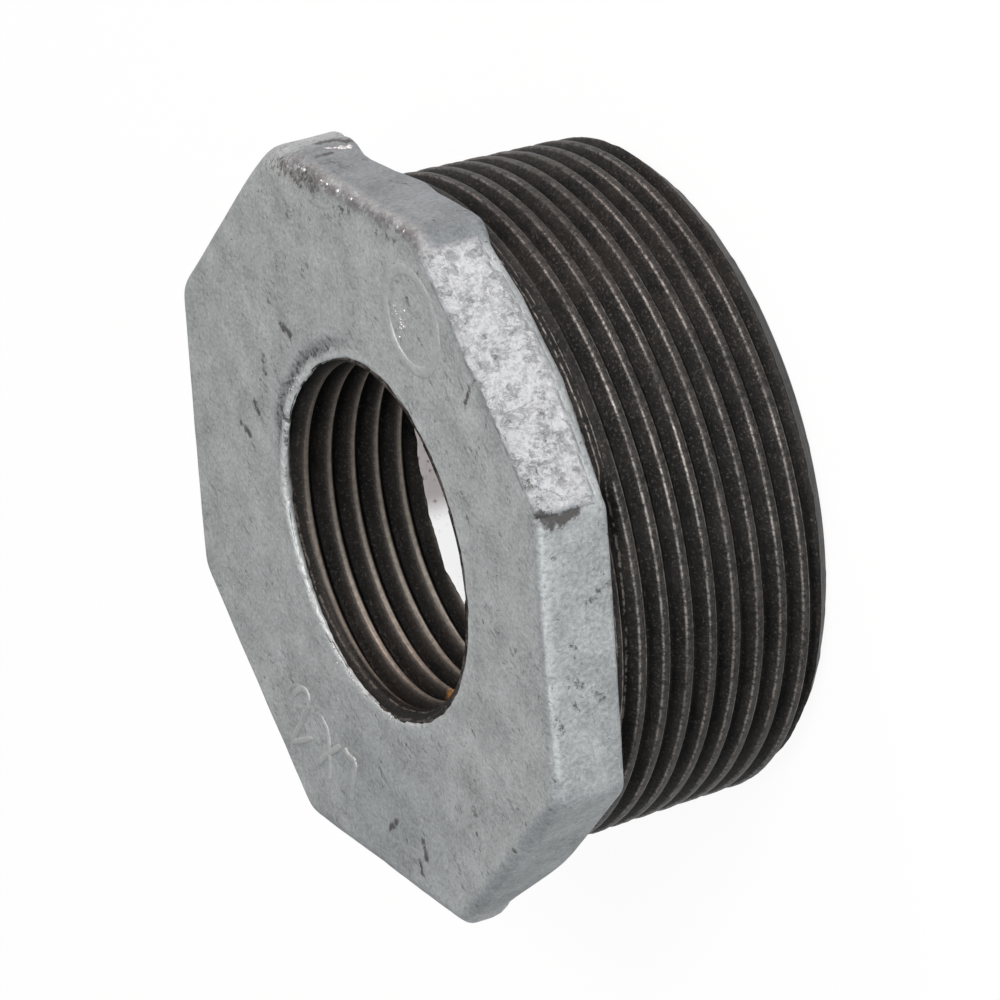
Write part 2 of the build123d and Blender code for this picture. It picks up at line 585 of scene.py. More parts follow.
    def surface(self) -> MeshPiece:
        """The ring's grid, pushed along its normals by the casting's unevenness.

        Returns:
            The piece, with the shares that its finish reads.
        """
        theta = np.linspace(0.0, 2 * math.pi, self.columns, endpoint=False)
        section = np.stack(self.rows(theta))
        radius, height = section[..., 0], section[..., 1]
        angle = np.broadcast_to(theta, radius.shape)
        grid = np.stack([radius * np.cos(angle), radius * np.sin(angle), height], -1)
        inset = self.outline(angle, 0.0) - radius
        at = Places(grid, angle, radius, height, inset, radius - mouth_radius(angle))
        share = self.regions(at)
        grid = grid + grid_normals(grid) * self.push(at, share)[..., None]
        ragged = bump_at(at.across, 0.05, 0.3) * smooth(27.9, 28.6, height)
        outward = np.stack([np.cos(angle), np.sin(angle), 0 * angle], -1)
        torn = self.mouth_torn * self.fine.layered(grid + 9.0, 0.9, 2) + self.mouth_swell
        grid = grid + outward * (ragged * torn)[..., None]
        del share["upper"], share["flat_45"]
        # The rim share also carries a painted highlight along the front edge of the right flats
        share["rim"] = np.maximum(share["rim"], 0.45 * self.painted_edge_highlight(at))
        # Painted shade on the top and lower right flats, with a darker tone patch low on the face
        share["painted_shade_and_tone"] = self.painted_shade_and_tone(grid, angle) * (1 - share["recess"])
        share["dirt"] = self.dirt(grid)
        faces = ring_faces(*radius.shape).tolist()
        values = {name: value.ravel() for name, value in share.items()}
        return MeshPiece("head_casting", grid.reshape(-1, 3), faces, values)

    def painted_edge_highlight(self, at: Places) -> np.ndarray:
        """Share of a painted highlight: a pale line along the front edge of the upper right and
        right flats.
        """
        line = bump_at(at.inset, 0.12, 0.2) * smooth(27.6, 28.4, at.height)
        return line * window(at.angle, Flat.RIGHT.value, (-24.0, -20.0), (70.0, 65.0))

    def painted_shade_and_tone(self, grid: np.ndarray, angle: np.ndarray) -> np.ndarray:
        """Share of painted shade on the top flat and the outer lower right flat, and of a darker
        tone in a patch low on the face.

        Args:
            grid: places in millimetres.
            angle: direction round the axis.

        Returns:
            Numbers between 0 and 1, soft at the patches' ends.
        """
        on_top = smooth(66.0, 68.5, np.degrees(angle)) * smooth(115.0, 110.0, np.degrees(angle))
        on_low = window(angle, Flat.LOWER_RIGHT.value, (-24.0, -20.0), (24.0, 20.0))
        outer = smooth(30.0, 30.8, grid[..., :2] @ np.array([1.0, -1.0]) * math.sqrt(0.5))
        # Painted shade: the top flat and the outer part of the lower right flat, darker for how the
        # light falls
        side = smooth(28.2, 27.2, grid[..., 2]) * on_top + 0.30 * on_low * outer
        # A darker tone in a patch low on the face
        low = bump_at(grid[..., 0], -2.0, 11.0) * bump_at(grid[..., 1], -26.0, 7.0)
        return np.clip(side + 0.45 * low, 0.0, 1.0)

    def dirt(self, grid: np.ndarray) -> np.ndarray:
        """Share of dirt: the largest of soft-edged strokes, each a distance to a short line.

        Args:
            grid: places in millimetres.

        Returns:
            Numbers between 0 and 1, one for each place.
        """
        planes = (
            (self.face_stains, (2, 4), self.face_z),
            (self.right_stains, (0, 2), self.right_x),
            (self.top_stains, (1, 3), self.top_y),
        )
        strokes = [np.insert(np.array(rows), at, level, 1) for rows, at, level in planes]
        most = np.zeros(grid.shape[:-1])
        for stroke in np.concatenate([*strokes, self.corner_stains]):
            a, b, (width, strength) = stroke[:3], stroke[3:6], stroke[6:]
            along = np.clip(((grid - a) @ (b - a)) / max(float((b - a) @ (b - a)), 1e-6), 0.0, 1.0)
            gap = np.linalg.norm(grid - a - along[..., None] * (b - a), axis=-1)
            most = np.maximum(most, strength * smooth(width * 2.0, 0.0, gap))
        return most

    @staticmethod
    def frame_45() -> np.ndarray:
        """Turns places so that the first axis faces out of the upper right flat."""
        c = math.sqrt(0.5)
        return np.array([[c, -c, 0.0], [c, c, 0.0], [0.0, 0.0, 1.0]])


@dataclass
class CastFigures:
    """Low worn ribs on the head's face: one plain ring, and the plain figures of the two sizes."""

    width: float = 0.34
    rise: float = 0.25
    face_z: float = 28.87
    around: int = 10
    paths: dict = field(
        default_factory=lambda: {
            "two": (
                (-18.6, -22.1), (-17.4, -20.7), (-15.7, -19.9), (-14.9, -20.4), (-15.5, -21.9),
                (-17.8, -24.6), (-19.5, -26.6), (-17.4, -25.7), (-14.9, -24.5),
            ),
            "cross_down": (
                (-13.0, -21.6), (-12.0, -22.6), (-11.8, -23.9), (-12.0, -26.0), (-12.3, -27.8),
            ),
            "cross_up": ((-14.6, -26.9), (-12.2, -25.0), (-9.7, -23.3)),
            "one_flag": ((-8.9, -23.2), (-8.1, -23.7), (-6.8, -23.7)),
            "one": ((-6.8, -23.7), (-7.4, -25.5), (-8.4, -28.1)),
        }
    )
    ring_centre: tuple = (9.9, 23.3)
    ring_radius: float = 4.45
    ring_width: float = 0.55
    ring_rise: float = 0.15
    wear: LatticeNoise = LatticeNoise(29)

    def rib(
        self, line: np.ndarray, closed: bool, width: float, rise: float
    ) -> tuple[np.ndarray, np.ndarray, np.ndarray]:
        """A half-oval profile carried along a line, sunk a little into the face.

        Each section is the line's point plus the sideways vector times the cosine and the rise
        times the sine of the profile's angle, and the ends shrink to nothing.

        Args:
            line: points in the face's plane, in millimetres.
            closed: whether the line ends where it starts.
            width: half of the rib's width.
            rise: its height above the face.

        Returns:
            Points, four-sided faces and the faces that cap the ends, numbered from zero.
        """
        if closed:
            ahead = np.roll(line, -1, 0) - np.roll(line, 1, 0)
            scale = np.ones(len(line))
        else:
            ahead = np.gradient(line, axis=0)
            place = np.linspace(0.0, 1.0, len(line))
            scale = np.sqrt(np.clip(np.minimum(place, 1 - place) * 12.0, 0.0004, 1.0))
        ahead = ahead / np.linalg.norm(ahead, axis=1, keepdims=True)
        sideways = np.stack([ahead[:, 1], -ahead[:, 0]], 1)
        turn = -np.linspace(0.0, 2 * math.pi, self.around, endpoint=False)
        wear = 0.7 + 0.45 * self.wear.sample(np.c_[line, 0 * line[:, 0]], 1.7)
        reach = (np.cos(turn) * width)[None, :] * scale[:, None]
        flat = line[:, None, :] + sideways[:, None, :] * reach[..., None]
        lift = np.where(np.sin(turn) > 0, np.sin(turn) * rise, np.sin(turn) * 0.25)
        height = self.face_z - 0.02 + lift[None, :] * (scale * wear)[:, None]
        points = np.concatenate([flat, height[..., None]], -1)
        quads = ring_faces(len(line), self.around)
        last = (len(line) - 1) * self.around
        column = np.arange(self.around)
        caps = np.stack([column[::-1], last + column])
        if closed:
            caps = caps[:0]
        else:
            quads = quads[:last]
        return points.reshape(-1, 3), quads, caps

    def build(self) -> MeshPiece:
        """All ribs as one piece: the ring, and each figure's corners smoothed by a running mean.

        Returns:
            The piece.
        """
        ring = np.array(self.ring_centre) + circle(self.ring_radius, 0.0, 120)[:, :2]
        parts = [self.rib(ring, True, self.ring_width, self.ring_rise)]
        for path in self.paths.values():
            corners = np.array(path)
            lengths = np.linalg.norm(np.diff(corners, axis=0), axis=1)
            reach = np.concatenate([[0.0], np.cumsum(lengths)])
            place = np.linspace(0.0, reach[-1], 70)
            line = np.stack([np.interp(place, reach, corners[:, k]) for k in range(2)], 1)
            kernel = np.hanning(15)[1:-1] / np.hanning(15).sum()
            padded = np.pad(line, ((6, 6), (0, 0)), mode="reflect", reflect_type="odd")
            line = np.stack([np.convolve(padded[:, k], kernel, "valid") for k in range(2)], 1)
            parts.append(self.rib(line, False, self.width, self.rise))
        points, faces, base = [], [], 0
        for some, quads, caps in parts:
            points.append(some)
            faces += (quads + base).tolist() + (caps + base).tolist()
            base += len(some)
        return MeshPiece("cast_figures", np.concatenate(points), faces)


@dataclass
class ZincCrumbs:
    """Small beads of zinc left on the bore's rim and along the top front edge."""

    seed: int = 41
    around: int = 8
    bands: int = 5
    rough: LatticeNoise = LatticeNoise(43)
    rim_r: float = 16.45
    rim_z: float = 28.86
    edge_y: float = 31.05
    edge_z: float = 28.55
    # The large beads on the top edge by x, the ridge beside the lug, and the middle of the patch
    edge_x: tuple = (-8.6, -4.4, -2.4, 0.1, 1.6, 7.0, 8.2, 9.3)
    ridge_start: tuple = (-11.2, 31.28, 25.2)
    ridge_end: tuple = (-9.9, 31.3, 23.3)
    ring_patch: tuple = (8.0, 22.5, 28.93)

    def centres(self) -> tuple[np.ndarray, np.ndarray]:
        """Places and radii of the beads: thick along the lower left rim, few on the edge and ring.

        Returns:
            One place and one radius for each bead.
        """
        draw = np.random.default_rng(self.seed)
        turn = np.radians(np.concatenate([draw.normal(247, 20, 120), draw.uniform(130, 230, 45)]))
        radius = self.rim_r + np.abs(draw.normal(0.0, 0.28, len(turn)))
        rim = np.c_[radius * np.cos(turn), radius * np.sin(turn), self.rim_z + 0 * turn]
        sizes = [draw.uniform(0.05, 0.10, len(turn))]
        x = np.concatenate([self.edge_x, draw.uniform(-10, 9, 16)])
        edge = np.c_[x, self.edge_y + 0 * x, self.edge_z + 0 * x]
        sizes += [draw.uniform(0.14, 0.26, len(self.edge_x)), draw.uniform(0.06, 0.12, 16)]
        share = np.linspace(0.0, 1.0, 24)[:, None]
        ridge = np.array(self.ridge_start) * (1 - share) + np.array(self.ridge_end) * share
        ridge = ridge + draw.normal(0.0, 0.09, ridge.shape) * np.array([1.0, 0.2, 1.0])
        sizes.append(draw.uniform(0.18, 0.30, 24))
        spread = draw.normal(0.0, 1.0, (14, 3)) * np.array([0.7, 0.9, 0.01])
        ring = np.array(self.ring_patch) + spread
        sizes.append(draw.uniform(0.07, 0.17, 14))
        return np.concatenate([rim, edge, ridge, ring]), np.concatenate(sizes)

    def build(self) -> MeshPiece:
        """A rough ball for each bead: rings of sines and cosines between two poles.

        Returns:
            The piece.
        """
        places, sizes = self.centres()
        tilt = np.linspace(0.0, math.pi, self.bands + 2)[1:-1]
        turn = np.linspace(0.0, 2 * math.pi, self.around, endpoint=False)
        level = -np.outer(np.cos(tilt), np.ones(self.around))
        round_ways = [np.outer(np.sin(tilt), way(turn)) for way in (np.cos, np.sin)]
        ball = np.stack([*round_ways, level], -1).reshape(-1, 3)
        ball = np.concatenate([ball, [[0, 0, -1.0], [0, 0, 1.0]]])
        rough = 1 + 0.3 * self.rough.sample(ball[None] * 1.3 + places[:, None] * 3, 1.0)
        points = places[:, None] + ball[None] * sizes[:, None, None] * rough[..., None]
        low = self.bands * self.around
        last = low - self.around
        quads = ring_faces(self.bands, self.around)[:last]
        k = np.arange(self.around)
        on = (k + 1) % self.around
        bottom = np.stack([k * 0 + low, on, k], -1)
        top = np.stack([k * 0 + low + 1, last + k, last + on], -1)
        faces = []
        for start in (np.arange(len(places)) * len(ball)).tolist():
            for some in (quads, bottom, top):
                faces += (some + start).tolist()
        return MeshPiece("zinc_crumbs", points.reshape(-1, 3), faces)


@dataclass
class PipeThread:
    """A right-handed pipe thread of 55 degree form, a ring with hidden walls inside the casting.

    before and after give radius and height of the plain rings at either end of the threaded band.
    """

    name: str
    side: Side
    columns: int
    turns: int
    first: float
    crest_z: float
    noise_r: float
    before: tuple
    after: tuple
    crest_half: float = 0.3
    root_half: float = 0.12
    crest_round: float = 0.16
    root_round: float = 0.18
    rust_spots: tuple = ()
    offsets: tuple = (-1.0, -0.84, -0.58, -0.42, -0.32, -0.2, 0.2, 0.32, 0.42, 0.58, 0.84, 1.0)

    def steps(self) -> np.ndarray:
        """Places of the rows across one pitch, from root to root, as lengths above the first."""
        return np.concatenate([[0.0], np.array(self.offsets) + PITCH / 2])

    def depth(self, gap: np.ndarray) -> np.ndarray:
        """Depth below the crest at a distance from its middle.

        A flank drops 1.921 for each unit past the crest's flat. Each corner is rounded by half
        the sum, or difference, of the two sides and the root of their squared gap plus a square.

        Args:
            gap: the distance along the axis, in millimetres.

        Returns:
            The depth, in millimetres.
        """
        slope = 1.0 / math.tan(math.radians(27.5))
        most = (PITCH / 2 - self.crest_half - self.root_half) * slope
        raw = (np.abs(gap) - self.crest_half) * slope
        low = 0.5 * (raw + np.sqrt(raw**2 + self.crest_round**2))
        return 0.5 * (low + most - np.sqrt((low - most) ** 2 + self.root_round**2))

    def helix(self) -> tuple[np.ndarray, np.ndarray]:
        """Angle and path length of every vertex of the band, which climbs one pitch a turn.

        Returns:
            The angle in radians and the length along the axis in millimetres.
        """
        rows = self.steps()
        last = self.turns * self.columns
        i = np.arange(last + 1)
        theta = 2 * math.pi * i / self.columns
        path = self.first + PITCH * i[:, None] / self.columns + rows[None, :]
        top = np.arange(last + 1, last + self.columns + 1)
        theta = np.concatenate([np.repeat(theta, len(rows)), 2 * math.pi * top / self.columns])
        path = np.concatenate([path.ravel(), self.first + PITCH * top / self.columns])
        return theta, path

    def faces(self) -> list:
        """Faces of the rings before the band, the band and the rings after it, as one closed ring.

        Returns:
            Lists of vertex numbers, turned over for an inside thread.
        """
        before, after = len(self.before), len(self.after)
        n = self.columns
        p = len(self.steps())
        last = self.turns * n
        start = before * n
        band_size = (last + 1) * p + n
        end = start + band_size

        def at(i: np.ndarray, j: np.ndarray) -> np.ndarray:
            """Vertex number of a step and a row, where a row past the last is row 0 one turn on.

            Args:
                i: steps round the band.
                j: rows across it.

            Returns:
                Vertex numbers.
            """
            over = i + n * (j == p)
            row = np.where(j == p, 0, j)
            beyond = start + (last + 1) * p + (over - last - 1)
            return np.where(over > last, beyond, start + over * p + row)

        def foot(i: int) -> int:
            """Vertex number of row 0 at one step."""
            return int(at(np.array(i), np.array(0)))

        i, j = np.meshgrid(np.arange(last), np.arange(p), indexing="ij")
        band = np.stack([at(i, j), at(i + 1, j), at(i + 1, j + 1), at(i, j + 1)], -1).reshape(-1, 4)
        k = np.arange(n)
        on = (k + 1) % n
        zero = np.zeros(n, int)
        low = np.stack([start - n + k, start - n + on, at(k + 1, zero), at(k, zero)], -1)[:-1]
        high = np.stack([at(last + k, zero), at(last + k + 1, zero), end + on, end + k], -1)[1:]
        column = np.arange(p)
        seam_low = [start - 1, start - n] + at(0 * column, column).tolist()
        seam_low += [foot(n), foot(n - 1)]
        seam_high = [foot(last), foot(last + 1), end + 1, end, foot(last + n)]
        seam_high += at(last + 0 * column[1:], column[1:]).tolist()[::-1]
        rings = [np.arange(before - 1)[:, None] * n, end + np.arange(after - 1)[:, None] * n]
        plain = [np.stack([r + k, r + on, r + n + on, r + n + k], -1).reshape(-1, 4) for r in rings]
        close = np.stack([end + (after - 1) * n + k, end + (after - 1) * n + on, on, k], -1)
        quads = np.concatenate([band, low, high, *plain, close])
        seams = [seam_low, seam_high]
        if self.side is Side.INSIDE:
            quads = quads[:, ::-1]
            seams = [seam[::-1] for seam in seams]
        return quads.tolist() + seams

    def build(self) -> MeshPiece:
        """Joins the hidden rings and the band into one closed piece.

        Returns:
            The piece, with its crest and rust shares.
        """
        theta, path = self.helix()
        radius, height, crest = self.surface(theta, path)
        band = np.stack([radius * np.cos(theta), radius * np.sin(theta), height], -1)
        low = [circle(*ring, self.columns) for ring in self.before]
        high = [circle(*ring, self.columns) for ring in self.after]
        places = np.concatenate([*low, band, *high])
        crests = np.pad(crest, (len(low) * self.columns, len(high) * self.columns))
        rust = np.zeros(len(places))
        for spot in self.rust_spots:
            gap = np.linalg.norm(places - np.array(spot), axis=1)
            rust = np.maximum(rust, smooth(0.75, 0.15, gap))
        values = {"crest": crests, "rust": rust}
        return MeshPiece(self.name, places, self.faces(), values)

    def noise_places(self, theta: np.ndarray, path: np.ndarray) -> np.ndarray:
        """The places on a plain cylinder at which the thread's noise is read."""
        return np.stack([self.noise_r * np.cos(theta), self.noise_r * np.sin(theta), path], -1)

    def gap_to_crest(self, theta: np.ndarray, path: np.ndarray) -> np.ndarray:
        """The signed distance along the axis to the nearest crest, which climbs a pitch a turn."""
        crest = self.crest_z + PITCH * theta / (2 * math.pi)
        return (path - crest + PITCH / 2) % PITCH - PITCH / 2

    def surface(
        self, theta: np.ndarray, path: np.ndarray
    ) -> tuple[np.ndarray, np.ndarray, np.ndarray]:
        """Radius, height and crest share of the band. Each thread gives its own."""
        raise NotImplementedError


@dataclass
class OutsideThread(PipeThread):
    """The taper thread below the head: worn crests, an end chamfer, a last groove that stops."""

    name: str = "outside_thread"
    side: Side = Side.OUTSIDE
    columns: int = 600
    turns: int = 11
    first: float = -2.458
    crest_z: float = 1.0055
    noise_r: float = 29.0
    # The end face's inner part, and the walls hidden in the head
    before: tuple = ((22.52, 0.03), (22.62, 0.0), (24.3, 0.0))
    after: tuple = ((27.6, 25.4), (25.7, 25.4), (25.7, 1.8), (22.95, 0.8))
    crest_r: float = 29.06
    edge_r: float = 27.06
    stop_z: float = 20.79
    hidden_r: float = 28.0
    hidden_z: float = HEAD_BACK + 0.25
    taper: float = 1 / 32
    end_round: float = 0.12
    wear: float = 0.07
    fine_wear: float = 0.03
    crest_wear: float = 0.05
    # The plain land beside the head, and the rings that the tool's chatter left on it
    land_start: float = 19.0
    land_full: float = 19.6
    chatter_depth: float = 0.16
    chatter_pitch: float = 0.74
    rough: LatticeNoise = LatticeNoise(11)

    def surface(
        self, theta: np.ndarray, path: np.ndarray
    ) -> tuple[np.ndarray, np.ndarray, np.ndarray]:
        """The threaded cone, cut by the end chamfer, running over the end face and into the head.

        The radius is the crest cone less the form's depth at the distance to the nearest crest,
        or the chamfer's 45 degree cone where that is less. Below zero the path lies on the end
        face, going inwards.

        Args:
            theta: angle of each vertex.
            path: its length along the axis.

        Returns:
            Radius, height and the share of bright worn metal, painted highlights, sheen and shade.
        """
        places = self.noise_places(theta, path)
        rough = self.rough
        gap = self.gap_to_crest(theta, path)
        groove = path - gap + np.where(gap > 0, PITCH / 2, -PITCH / 2)
        cut = smooth(self.stop_z + 0.02, self.stop_z - 0.02, groove)
        worn = self.wear * np.clip(rough.layered(places, 1.6, 2), 0, 1)
        worn = worn + self.fine_wear * rough.sample(places, 0.6)
        worn = worn + self.crest_wear * smooth(0.3, 0.12, np.abs(gap))
        drop = np.maximum(self.depth(gap) * cut, worn)
        cone = self.crest_r + path * self.taper
        chamfer = self.edge_r + np.maximum(path, 0.0) + 0.12 * rough.layered(places, 1.3, 2) - 0.04
        threaded = cone - drop
        radius = np.minimum(threaded, chamfer)
        radius = np.where(path < 0, self.edge_r + path, radius)
        soft = self.end_round * np.exp(-np.abs(path) / self.end_round)
        radius = radius - soft
        height = np.maximum(path, 0.0) + soft * (path < 0.4)
        inside = path > self.hidden_z
        radius = np.where(inside, self.hidden_r, radius)
        land = (1 - cut) * smooth(self.land_start, self.land_full, path)
        chatter = 0.5 + 0.5 * np.cos((2 * math.pi * path - 0.2 * theta) / self.chatter_pitch)
        radius = radius - land * self.chatter_depth * chatter * (path < self.hidden_z)
        uneven = 0.6 + 0.8 * rough.layered(places + 4.0, 4.5, 3)
        # Thin lines on both crest edges: bright worn metal and a painted highlight on each edge
        edges = bump_at(np.abs(gap), 0.32, 0.06) * np.clip(uneven, 0.1, 1.0)
        # facing: painted sheen on the flank that faces the head, lighter towards the crest
        facing = 0.10 * np.exp(-drop / 0.45) * (gap > 0)
        # Painted shade: the crest lines dimmer round the top of the thread
        edges = edges * (1 - 0.55 * bell_round(theta, 102, 30.0))
        faint = 0.05 * smooth(0.42, 0.3, np.abs(gap))
        share = np.maximum(edges, np.maximum(faint, facing)) * (path > 0)
        share = np.where(land > 0.5, 0.0, share)
        share = np.where(threaded > chamfer, 0.3 * share, share)
        return radius, height, np.where(inside, 0.0, share)


@dataclass
class InsideThread(PipeThread):
    """The parallel thread of the bore, with its mouth cone and the uneven edge of the core."""

    name: str = "inside_thread"
    side: Side = Side.INSIDE
    columns: int = 600
    turns: int = 7
    first: float = 13.4325
    crest_z: float = 28.5
    noise_r: float = 16.0
    before: tuple = ((17.7, 17.5), (17.6, 16.3))
    after: tuple = ((17.7, 28.1), (17.8, 20.0))
    crest_half: float = 0.22
    crest_round: float = 0.34
    rust_spots: tuple = ((1.2, -15.3, 27.0), (0.3, -15.6, 27.3), (1.9, -15.2, 23.5))
    offsets: tuple = (-1.0, -0.8, -0.5, -0.32, -0.18, -0.06, 0.06, 0.18, 0.32, 0.5, 0.8, 1.0)
    crest_r: float = 15.15
    cone_depth: float = 2.1
    cone_slope: float = 0.26
    foot_z: float = 16.3
    lip_z: float = LENGTH - 0.06
    mouth_gap: float = 0.05
    bevel_slope: float = 0.9
    # How far the hidden ends reach out into the casting
    top_reach: float = 1.2
    foot_reach: float = 1.1
    rough: LatticeNoise = LatticeNoise(17)

    def surface(
        self, theta: np.ndarray, path: np.ndarray
    ) -> tuple[np.ndarray, np.ndarray, np.ndarray]:
        """The threaded bore, opened by the mouth cone, running on under the face and over the foot.

        The radius is the crest cylinder plus the form's depth, or the mouth cone where that is
        more. Past either end the path goes outwards inside the casting, ever more slowly.

        Args:
            theta: angle of each vertex.
            path: its length along the axis.

        Returns:
            Radius, height and the share of bright worn metal, painted highlights and sheen.
        """
        places = self.noise_places(theta, path)
        rough = self.rough
        gap = self.gap_to_crest(theta, path)
        drop = np.maximum(self.depth(gap), 0.02 * rough.layered(places, 1.2, 2) + 0.02)
        cone = self.crest_r + self.cone_slope * (path - (LENGTH - self.cone_depth))
        mouth = mouth_radius(theta) - self.mouth_gap
        bevel = mouth - self.bevel_slope * (LENGTH - path) + 0.07 * rough.layered(places, 1.0, 2)
        cone = np.maximum(cone, bevel)
        foot = self.foot_z + 0.3 * rough.layered(places, 2.2, 3)
        radius = np.maximum(self.crest_r + drop, cone)
        top = self.lip_z
        over = self.top_reach * (1.0 - np.exp(-np.maximum(path - top, 0.0) / self.top_reach))
        radius = np.where(path > top, mouth + over + 0.1, radius)
        below = np.maximum(foot - path, 0.0)
        radius = radius + self.foot_reach * (1.0 - np.exp(-below / self.foot_reach))
        height = np.clip(path, foot, top) - (0.12 + 0.4 * over) * (path > top)
        # A line on each crest's far edge, bright worn metal and a painted highlight, and a painted
        # sheen on the flank towards the mouth
        share = 0.9 * bump_at(gap, -0.04, 0.2) + 0.10 * np.exp(-drop / 0.4) * (gap > 0)
        # Painted highlight: crests and the mouth cone brighter in the lower bore
        lower = bell_round(theta, 240, 26.0)
        share = share * (0.70 + 0.95 * lower) + 0.10 * lower * np.exp(-((drop / 0.5) ** 2))
        coned = (0.5 + 0.4 * lower) * smooth(27.9, 27.5, path)
        share = np.where(cone > self.crest_r + drop, coned, share)
        return radius, height, share * (below <= 0) * (path < top)


class Value:
    """A socket that can be used in arithmetic: each operator adds a Math node."""

    def __init__(self, sheet: "Sheet", socket: bpy.types.NodeSocket) -> None:
        """Keeps the node sheet and the socket."""
        self.sheet = sheet
        self.socket = socket

    def _math(self, operation: str, *parts: "Value | float", clamp: bool = False) -> "Value":
        """Adds one Math node of the operation on the parts."""
        settings = {"operation": operation, "use_clamp": clamp}
        return self.sheet.add("ShaderNodeMath", settings, dict(enumerate(parts)))

    def __add__(self, other: "Value | float") -> "Value":
        """Sum."""
        return self._math("ADD", self, other)

    __radd__ = __add__

    def __sub__(self, other: "Value | float") -> "Value":
        """Difference."""
        return self._math("SUBTRACT", self, other)

    def __rsub__(self, other: "Value | float") -> "Value":
        """Difference, taken from the other."""
        return self._math("SUBTRACT", other, self)

    def __mul__(self, other: "Value | float") -> "Value":
        """Product."""
        return self._math("MULTIPLY", self, other)

    __rmul__ = __mul__

    def clamped(self) -> "Value":
        """Kept between 0 and 1."""
        return self._math("ADD", self, 0.0, clamp=True)

    def wave(self) -> "Value":
        """Its sine."""
        return self._math("SINE", self)

    def size(self) -> "Value":
        """Without its sign."""
        return self._math("ABSOLUTE", self)

    def step(self, low: float, high: float) -> "Value":
        """A soft step from 0 at low to 1 at high."""
        inputs = {"Value": self, "From Min": low, "From Max": high}
        return self.sheet.add("ShaderNodeMapRange", {"interpolation_type": "SMOOTHSTEP"}, inputs)

    def other(self, name: str) -> "Value":
        """Another output of the same node."""
        return Value(self.sheet, self.socket.node.outputs[name])


class Sheet:
    """The node sheet of a material or of the world, with one method that adds any node."""

    def __init__(self, owner: bpy.types.Material | bpy.types.World) -> None:
        """Starts with an empty sheet.

        Args:
            owner: the material or world that the sheet belongs to.
        """
        owner.use_nodes = True
        self.owner = owner
        self.tree = owner.node_tree
        self.tree.nodes.clear()

    def add(
        self,
        kind: str,
        settings: dict | None = None,
        inputs: dict | None = None,
        out: int | str = 0,
    ) -> Value | None:
        """Adds a node, with its settings first and then its inputs.

        Args:
            kind: the node's type name.
            settings: properties of the node.
            inputs: values or sockets by input name or number.
            out: the output that is returned.

        Returns:
            That output, wrapped, or nothing from a node that has none.
        """
        node = self.tree.nodes.new(kind)
        for key, value in (settings or {}).items():
            setattr(node, key, value)
        for key, value in (inputs or {}).items():
            if isinstance(value, Value):
                self.tree.links.new(value.socket, node.inputs[key])
            else:
                node.inputs[key].default_value = value
        return Value(self, node.outputs[out]) if node.outputs else None

    def place(self, scale: tuple = (1000.0, 1000.0, 1000.0), turn: float = 0.0) -> Value:
        """The place on the object, turned about Z and then multiplied along each axis.

        Args:
            scale: what one metre becomes along each axis, 1000 for millimetres.
            turn: the turn in radians.

        Returns:
            The place as a vector.
        """
        where = self.add("ShaderNodeTexCoord", out="Object")
        inputs = {"Vector": where, "Rotation": (0.0, 0.0, turn)}
        turned = self.add("ShaderNodeMapping", {"vector_type": "POINT"}, inputs)
        return self.add("ShaderNodeVectorMath", {"operation": "MULTIPLY"}, {0: turned, 1: scale})

    @cached_property
    def where(self) -> Value:
        """The place on the object in millimetres, made once."""
        return self.place()

    def noise(
        self,
        scale: float,
        detail: float = 3.0,
        rough: float = 0.55,
        bent: float = 0.0,
        where: Value | None = None,
    ) -> Value:
        """Fractal noise, about 0.5 on average.

        Args:
            scale: cells in a millimetre.
            detail: how many finer layers are added.
            rough: how strong each layer is beside the one before it.
            bent: how far the noise is distorted.
            where: another place than the object's own.

        Returns:
            The noise.
        """
        inputs = {"Vector": where or self.where, "Scale": scale, "Detail": detail}
        inputs |= {"Roughness": rough, "Distortion": bent}
        return self.add("ShaderNodeTexNoise", {"noise_dimensions": "3D"}, inputs)

    def value_of(self, name: str) -> Value:
        """A value stored on the mesh's vertices."""
        settings = {"attribute_type": "GEOMETRY", "attribute_name": name}
        return self.add("ShaderNodeAttribute", settings, out="Fac")

    def _mix(
        self, kind: str, share: Value | float, first: Value | tuple, second: Value | tuple
    ) -> Value:
        """Mixes two colours, each given its fourth number or used as the socket it is.

        Args:
            kind: how the colours are mixed.
            share: how far the mix goes.
            first: the colour at a share of 0.
            second: the colour that is mixed in.

        Returns:
            The mixed colour.
        """
        sides = [c if isinstance(c, Value) else (*c, 1.0) for c in (first, second)]
        settings = {"data_type": "RGBA", "blend_type": kind}
        return self.add("ShaderNodeMix", settings, {0: share, 6: sides[0], 7: sides[1]}, 2)

    def blend(self, share: Value | float, first: Value | tuple, second: Value | tuple) -> Value:
        """Goes from the first colour to the second, as far as the share goes."""
        return self._mix("MIX", share, first, second)

    def darken(self, share: Value | float, base: Value, tint: tuple) -> Value:
        """Multiplies a colour by a tint, as far as the share goes."""
        return self._mix("MULTIPLY", share, base, tint)

    def finish(self, relief: Value, distance: float, inputs: dict) -> bpy.types.Material:
        """Ends in a Principled shader whose normals follow a relief.

        Args:
            relief: height in any unit.
            distance: what a height of 1 is, in metres.
            inputs: the shader's other inputs.

        Returns:
            The finished material.
        """
        bump = self.add("ShaderNodeBump", None, {"Height": relief, "Distance": distance})
        shader = self.add("ShaderNodeBsdfPrincipled", None, {**inputs, "Normal": bump})
        self.add("ShaderNodeOutputMaterial", None, {"Surface": shader})
        return self.owner


